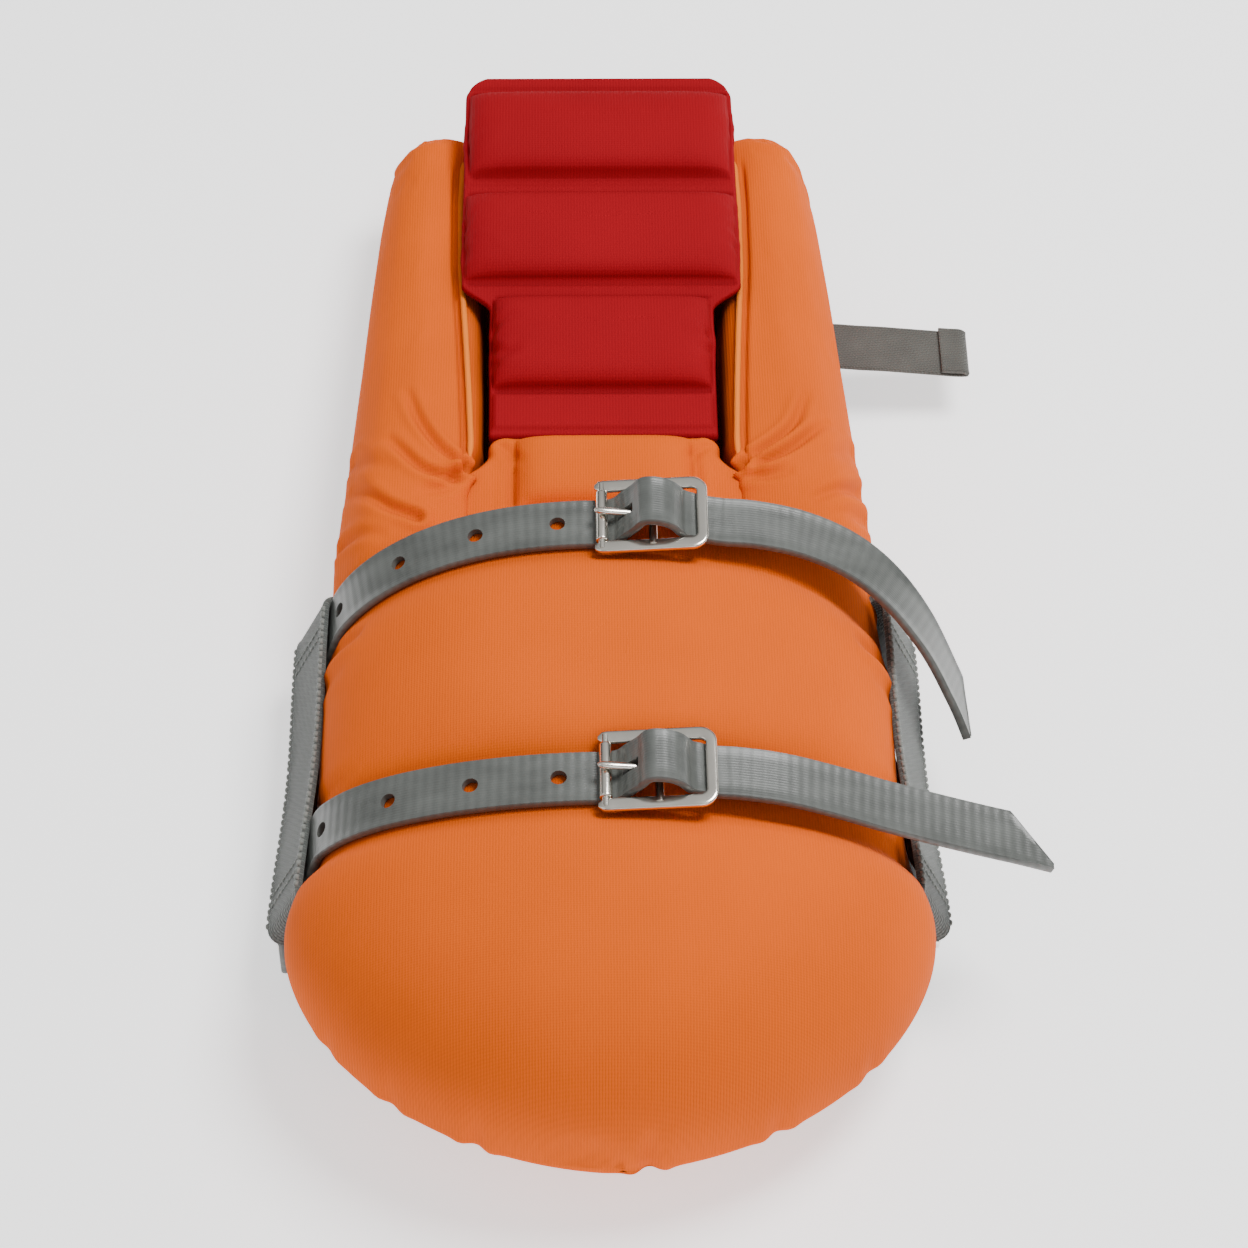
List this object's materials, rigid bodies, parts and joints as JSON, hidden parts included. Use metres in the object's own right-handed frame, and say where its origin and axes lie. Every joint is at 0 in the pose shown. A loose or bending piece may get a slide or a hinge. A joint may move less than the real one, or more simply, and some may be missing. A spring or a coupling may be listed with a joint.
{
  "type": "roofing knee pad",
  "caption": "Long padded knee and shin support with a rubber sole, a ribbed shin pad between folding side wings, and buckled straps with side webbing.",
  "frame": {"origin": "on the ground face of the sole, under the pad's centre line, between the two straps and the side wings", "axes": "+Z away from the ground, towards the leg; +Y from the knee end to the ankle end; +X to the right with the knee end nearest"},
  "size_m": [0.2331, 0.408, 0.0951],
  "materials": {
    "orange_fabric": "fine ribbed knit, matte",
    "red_fabric": "moulded ribbed knit, matte",
    "strap_grey": "coated webbing, semi-gloss with fine cross ribs",
    "webbing_grey": "woven webbing",
    "dark_strap": "smooth woven elastic",
    "nickel": "polished nickel plate",
    "sole_rubber": "matte moulded rubber",
    "foam": "closed-cell foam"
  },
  "bodies": {
    "pad_body": {"sole_shell": "sole_rubber", "sole_tread": "sole_rubber", "liner_base": "foam", "knee_cushion_cover": "orange_fabric", "knee_cushion_foam": "foam", "left_side_pad": "orange_fabric", "right_side_pad": "orange_fabric", "ankle_tab": "orange_fabric", "upper_strap": "strap_grey", "upper_anchor_strap": "strap_grey", "upper_buckle_frame": "nickel", "lower_strap": "strap_grey", "lower_anchor_strap": "strap_grey", "lower_buckle_frame": "nickel", "left_side_webbing": "webbing_grey", "right_side_webbing": "webbing_grey", "strap_rivets": "nickel", "rivet_washers": "nickel", "ankle_strap_root": "dark_strap"},
    "left_wing": {"left_wing_cover": "orange_fabric", "left_wing_foam": "foam"},
    "right_wing": {"right_wing_cover": "orange_fabric", "right_wing_foam": "foam"},
    "shin_pad": {"shin_pad_foam": "foam", "shin_pad_backing": "red_fabric", "shin_rib_lower": "red_fabric", "shin_rib_middle": "red_fabric", "shin_rib_upper": "red_fabric", "shin_band": "red_fabric"},
    "ankle_tail": {"ankle_strap_tail": "dark_strap"},
    "upper_roller": {"upper_buckle_roller": "nickel"},
    "upper_prong": {"upper_buckle_prong": "nickel"},
    "upper_tail": {"upper_strap_tail": "strap_grey"},
    "lower_roller": {"lower_buckle_roller": "nickel"},
    "lower_prong": {"lower_buckle_prong": "nickel"},
    "lower_tail": {"lower_strap_tail": "strap_grey"}
  },
  "joints": [
    {"name": "left_wing_flex", "type": "hinge", "parent": "pad_body", "child": "left_wing", "pos_m": [-0.058, 0.137, 0.0206], "axis": [0, 1, 0], "range_deg": [-4, 10], "stiffness_Nm_per_rad": 1},
    {"name": "right_wing_flex", "type": "hinge", "parent": "pad_body", "child": "right_wing", "pos_m": [0.058, 0.137, 0.0206], "axis": [0, -1, 0], "range_deg": [-4, 10], "stiffness_Nm_per_rad": 1},
    {"name": "shin_pad_lift", "type": "hinge", "parent": "pad_body", "child": "shin_pad", "pos_m": [0, 0.071, 0.056], "axis": [1, 0, 0], "range_deg": [0, 35]},
    {"name": "ankle_strap_swing", "type": "hinge", "parent": "pad_body", "child": "ankle_tail", "pos_m": [0.0801, 0.139, 0.02205], "axis": [0, -1, 0], "range_deg": [0, 80]},
    {"name": "upper_roller_spin", "type": "hinge", "parent": "pad_body", "child": "upper_roller", "pos_m": [-0.0015, 0.013, 0.08499], "axis": [0, 1, 0], "continuous": true},
    {"name": "upper_prong_pivot", "type": "hinge", "parent": "pad_body", "child": "upper_prong", "pos_m": [0.014, 0.013, 0.08613], "axis": [0, 1, 0], "range_deg": [0, 10]},
    {"name": "upper_tail_lift", "type": "hinge", "parent": "pad_body", "child": "upper_tail", "pos_m": [0.033, 0.01236, 0.08486], "axis": [0, -1, 0], "range_deg": [0, 40], "stiffness_Nm_per_rad": 0.05},
    {"name": "lower_roller_spin", "type": "hinge", "parent": "pad_body", "child": "lower_roller", "pos_m": [-0.0015, -0.082, 0.08599], "axis": [0, 1, 0], "continuous": true},
    {"name": "lower_prong_pivot", "type": "hinge", "parent": "pad_body", "child": "lower_prong", "pos_m": [0.014, -0.082, 0.0872], "axis": [0, 1, 0], "range_deg": [0, 10]},
    {"name": "lower_tail_lift", "type": "hinge", "parent": "pad_body", "child": "lower_tail", "pos_m": [0.033, -0.08187, 0.08605], "axis": [0, -1, 0], "range_deg": [0, 40], "stiffness_Nm_per_rad": 0.05}
  ]
}
